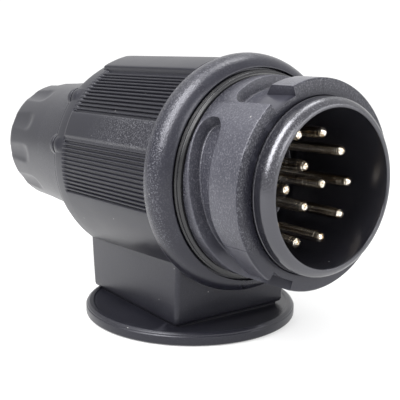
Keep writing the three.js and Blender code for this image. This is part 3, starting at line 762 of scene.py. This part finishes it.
M_HOUSING = plastic("housing_plastic", (0.0072, 0.0072, 0.0108), 0.34, spec=0.38)
# the shell's lighter second colour is a painted highlight on the sleeve, with painted shade in the grooves
M_SHELL = plastic("shell_plastic", (0.007, 0.007, 0.0115), 0.29, spec=0.42, painted_sheen=(0.034, 0.034, 0.043))
M_INSERT = plastic("insert_plastic", (0.009, 0.009, 0.012), 0.24, spec=0.9)
M_PLAIN = plastic("insert_plain", (0.018, 0.018, 0.021), 0.42, use_grain=False)
M_NYLON = plastic("nylon", (0.42, 0.43, 0.40), 0.5, use_grain=False, wear=0.2)
M_SEAL = rubber("seal_rubber", (0.006, 0.006, 0.007), 0.22)
M_GROMMET = rubber("grommet_rubber", (0.02, 0.02, 0.02), 0.6)
# the pins' bright and dark colours are painted reflection streaks; the turning-mark bump is real relief
M_PIN = metal("contact_plating", (0.95, 0.90, 0.80), (0.24, 0.17, 0.09), 0.16, streak=(70.0, 1300.0, 1300.0), rings=(2400.0, 160.0, 160.0))
M_STEEL = metal("screw_steel", (0.66, 0.66, 0.68), (0.42, 0.42, 0.44), 0.30, streak=(300.0, 300.0, 300.0))


def paint(ob, mat):
    ob.data.materials.clear()
    ob.data.materials.append(mat)


for ob in (housing, cover, nut):
    paint(ob, M_HOUSING)
paint(shell, M_SHELL)
for ob in (shroud, carrier):
    paint(ob, M_INSERT)
paint(seal, M_SEAL)
paint(grommet, M_GROMMET)
paint(washer, M_NYLON)
for ob in list(bpy.data.objects):
    if ob.type != "MESH":
        continue
    if ob.name.startswith("contact_pin_"):
        if "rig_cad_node" not in ob:
            paint(ob, M_PIN)
    elif "screw_" in ob.name and ob.name.endswith("_detail"):
        paint(ob, M_STEEL)
for name, ob in frame["nodes"].items():
    if "screw" in name:
        mat = M_STEEL
    elif name.startswith("contact_pin"):
        mat = M_PIN
    elif name == "insert_o_ring":
        mat = M_SEAL
    elif name == "insert_retainer":
        mat = M_PLAIN
    elif name in ("terminal_block", "gland_claws", "thrust_washer"):
        mat = M_NYLON
    elif name == "gland_grommet":
        mat = M_GROMMET
    else:
        mat = M_HOUSING
    for s in ob.material_slots:
        s.material = mat
    if not ob.material_slots:
        ob.data.materials.append(mat)

# ---------- floor, light, camera ----------
scene = bpy.context.scene
fm, nt, bsdf = new_material("studio_floor")
bsdf.inputs["Base Color"].default_value = (0.42, 0.42, 0.42, 1)
bsdf.inputs["Roughness"].default_value = 0.9
bsdf.inputs["Emission Color"].default_value = (1, 1, 1, 1)
# the floor glows less close to the part, so less light comes up from below
fc = add(nt, "ShaderNodeTexCoord")
fd = add(nt, "ShaderNodeVectorMath", operation="LENGTH")
nt.links.new(fc.outputs["Object"], fd.inputs[0])
fr = add(nt, "ShaderNodeMapRange")
for k, v in (("From Min", 0.10), ("From Max", 0.50), ("To Min", 0.47), ("To Max", 0.55)):
    fr.inputs[k].default_value = v
nt.links.new(fd.outputs["Value"], fr.inputs["Value"])
nt.links.new(fr.outputs["Result"], bsdf.inputs["Emission Strength"])
me = bpy.data.meshes.new("studio_floor")
S = 3.0
FLOOR_Z = -0.0001
me.from_pydata([(-S, -S, FLOOR_Z), (S, -S, FLOOR_Z), (S, S, FLOOR_Z), (-S, S, FLOOR_Z)], [], [(0, 1, 2, 3)])
floor = bpy.data.objects.new("studio_floor", me)
scene.collection.objects.link(floor)
me.materials.append(fm)

# a white tent, a little dimmer on the left, then one tall soft key for the highlights
world = bpy.data.worlds.new("studio")
scene.world = world
world.use_nodes = True
wt = world.node_tree
wt.nodes["Background"].inputs["Color"].default_value = (1.0, 1.0, 1.0, 1)
wc = wt.nodes.new("ShaderNodeTexCoord")
wd = wt.nodes.new("ShaderNodeVectorMath")
wd.operation = "DOT_PRODUCT"
wd.inputs[1].default_value = (0.5, 0.87, 0.0)
wm = wt.nodes.new("ShaderNodeMapRange")
for k, v in (("From Min", -0.85), ("From Max", -0.2), ("To Min", 0.7), ("To Max", 1.1)):
    wm.inputs[k].default_value = v
wt.links.new(wc.outputs["Generated"], wd.inputs[0])
wt.links.new(wd.outputs["Value"], wm.inputs["Value"])
wt.links.new(wm.outputs["Result"], wt.nodes["Background"].inputs["Strength"])


def area(name, loc, target, size, power, shape="RECTANGLE", size_y=None):
    data = bpy.data.lights.new(name, "AREA")
    data.shape = shape
    data.size = size
    if size_y:
        data.size_y = size_y
    data.energy = power
    ob = bpy.data.objects.new(name, data)
    ob.location = loc
    ob.rotation_mode = "QUATERNION"
    ob.rotation_quaternion = (Vector(target) - Vector(loc)).to_track_quat("-Z", "Y")
    scene.collection.objects.link(ob)
    return ob


centre = Vector((0.004, 0, H * MM))
# camera basis, used only to place the camera
AZ, EL, ROLL, DIST, F_PX = 53.14, 10.01, 0.92, 0.18465, 661.99
az, el = math.radians(AZ), math.radians(EL)
back = Vector((math.sin(az) * math.cos(el), -math.cos(az) * math.cos(el), math.sin(el)))
right = Vector((math.cos(az), math.sin(az), 0))
up = back.cross(right)


def toward(azimuth, elevation, distance):
    """a point seen from the object's centre at that azimuth (0 = -Y, 90 = +X) and elevation"""
    a, e = math.radians(azimuth), math.radians(elevation)
    return centre + Vector((math.sin(a) * math.cos(e), -math.cos(a) * math.cos(e), math.sin(e))) * distance


area("key", toward(5, 50, 0.62), centre, 0.30, 9.5, size_y=0.68)
area("overhead", toward(190, 76, 0.6), centre, 0.16, 1.3, size_y=0.34)
area("front", toward(84, 26, 0.6), centre, 0.20, 1.0, size_y=0.22)
area("right", toward(122, 14, 0.6), centre, 0.35, 1.0, size_y=0.28)
area("left", toward(-62, 55, 0.7), centre, 0.14, 0.22, size_y=0.3)

cam_data = bpy.data.cameras.new("camera")
cam_data.sensor_fit = "HORIZONTAL"
cam_data.sensor_width = 36.0
cam_data.lens = F_PX / 400.0 * 36.0
cam_data.clip_start, cam_data.clip_end = 0.01, 20
cam = bpy.data.objects.new("camera", cam_data)
scene.collection.objects.link(cam)
target = Vector((3.96, 0.0, 32.34)) * MM
cr, sr = math.cos(math.radians(ROLL)), math.sin(math.radians(ROLL))
R_ = right * cr + up * sr
U_ = -right * sr + up * cr
rot = Matrix((R_, U_, back)).transposed()
cam.rotation_mode = "QUATERNION"
cam.rotation_quaternion = rot.to_quaternion()
cam.location = target + back * DIST
scene.camera = cam
scene.view_settings.view_transform = "Standard"
scene.view_settings.look = "None"
